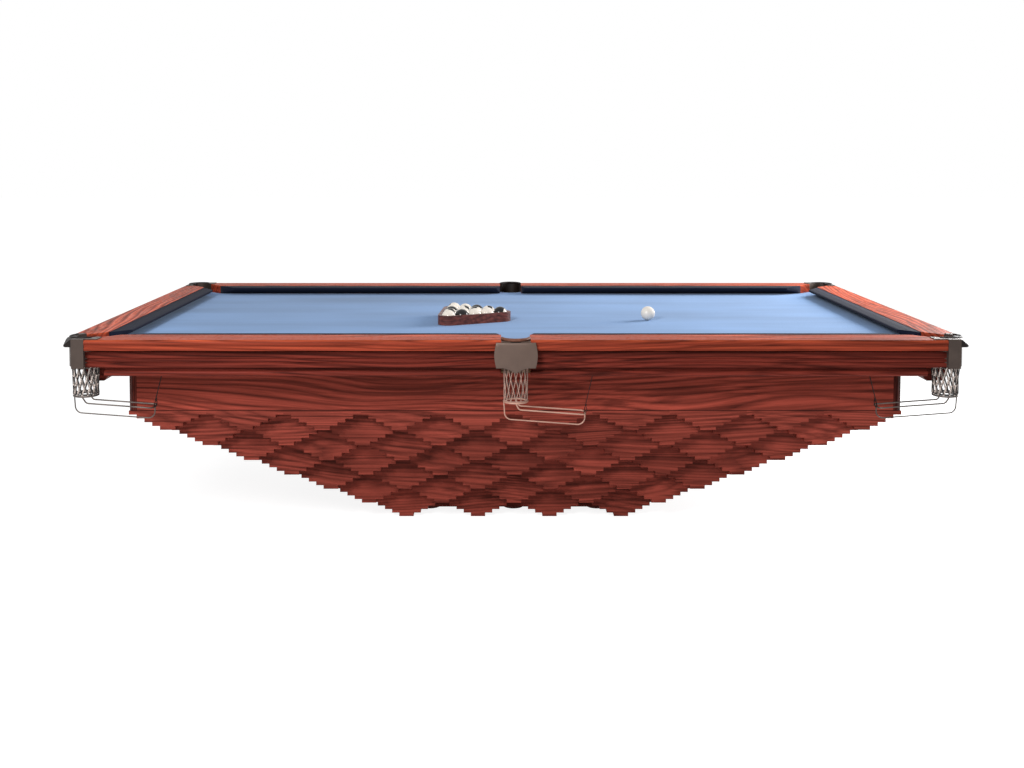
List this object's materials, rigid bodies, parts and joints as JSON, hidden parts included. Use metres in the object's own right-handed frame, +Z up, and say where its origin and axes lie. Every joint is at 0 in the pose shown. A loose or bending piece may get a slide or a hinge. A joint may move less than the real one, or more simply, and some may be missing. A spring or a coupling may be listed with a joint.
{
  "type": "pool table",
  "caption": "Pool table with netted pockets, wire ball runners, blue cloth, wooden rails and a stepped scale pedestal, with balls racked in a triangle and a cue ball.",
  "frame": {"origin": "on the floor under the middle of the table", "axes": "+X along the table, -Y towards the front long side, +Z up"},
  "size_m": [3.174, 1.806, 0.7995],
  "materials": {
    "pedestal_wood": "satin mahogany",
    "inner_wood": "plain softwood",
    "pad_rubber": "matte",
    "cabinet_wood": "satin mahogany",
    "slate": "honed stone",
    "bed_cloth": "napped wool cloth",
    "rail_wood": "polished mahogany",
    "cushion_cloth": "napped wool cloth",
    "apron_wood": "satin mahogany",
    "pocket_metal": "aged pewter plate",
    "net_cord": "knotted cotton cord",
    "runner_steel": "dull wire",
    "strap_leather": "dark strap",
    "ball_resin": "polished resin",
    "rack_wood": "satin mahogany"
  },
  "bodies": {
    "table": {"pedestal_front_planks": "pedestal_wood", "pedestal_back_planks": "pedestal_wood", "pedestal_right_blocks": "pedestal_wood", "pedestal_left_blocks": "pedestal_wood", "base_board": "inner_wood", "pedestal_webs": "inner_wood", "cabinet_floor": "inner_wood", "bed_frame": "inner_wood", "cross_beams": "inner_wood", "frame_corner_blocks": "apron_wood", "base_pads": "pad_rubber", "cabinet_front_panel": "cabinet_wood", "cabinet_back_panel": "cabinet_wood", "cabinet_right_panel": "cabinet_wood", "cabinet_left_panel": "cabinet_wood", "cabinet_corner_posts": "cabinet_wood", "slate_left": "slate", "slate_middle": "slate", "slate_right": "slate", "bed_cloth": "bed_cloth", "rail_front_right": "rail_wood", "cushion_front_right": "cushion_cloth", "apron_front_right": "apron_wood", "rail_front_left": "rail_wood", "cushion_front_left": "cushion_cloth", "apron_front_left": "apron_wood", "rail_back_right": "rail_wood", "cushion_back_right": "cushion_cloth", "apron_back_right": "apron_wood", "rail_back_left": "rail_wood", "cushion_back_left": "cushion_cloth", "apron_back_left": "apron_wood", "rail_right_end": "rail_wood", "cushion_right_end": "cushion_cloth", "apron_right_end": "apron_wood", "rail_left_end": "rail_wood", "cushion_left_end": "cushion_cloth", "apron_left_end": "apron_wood", "pocket_casting_front_right": "pocket_metal", "net_front_right": "net_cord", "ball_runner_front_right": "runner_steel", "pocket_casting_front_left": "pocket_metal", "net_front_left": "net_cord", "ball_runner_front_left": "runner_steel", "pocket_casting_back_right": "pocket_metal", "net_back_right": "net_cord", "ball_runner_back_right": "runner_steel", "pocket_casting_back_left": "pocket_metal", "net_back_left": "net_cord", "ball_runner_back_left": "runner_steel", "pocket_casting_front_middle": "pocket_metal", "net_front_middle": "net_cord", "ball_runner_front_middle": "runner_steel", "pocket_casting_back_middle": "pocket_metal", "net_back_middle": "net_cord", "ball_runner_back_middle": "runner_steel", "runner_straps": "strap_leather"},
    "rack_triangle": {"rack_triangle": "rack_wood"},
    "racked_balls": {"racked_balls": "ball_resin"},
    "cue_ball": {"cue_ball": "ball_resin"}
  },
  "joints": [
    {"name": "rack_triangle_lift", "type": "slide", "parent": "table", "child": "rack_triangle", "axis": [0, 0, 1], "range_m": [0, 0.25]},
    {"name": "racked_balls_lift", "type": "slide", "parent": "table", "child": "racked_balls", "axis": [0, 0, 1], "range_m": [0, 0.15]},
    {"name": "cue_ball_lift", "type": "slide", "parent": "table", "child": "cue_ball", "axis": [0, 0, 1], "range_m": [0, 0.2]}
  ]
}
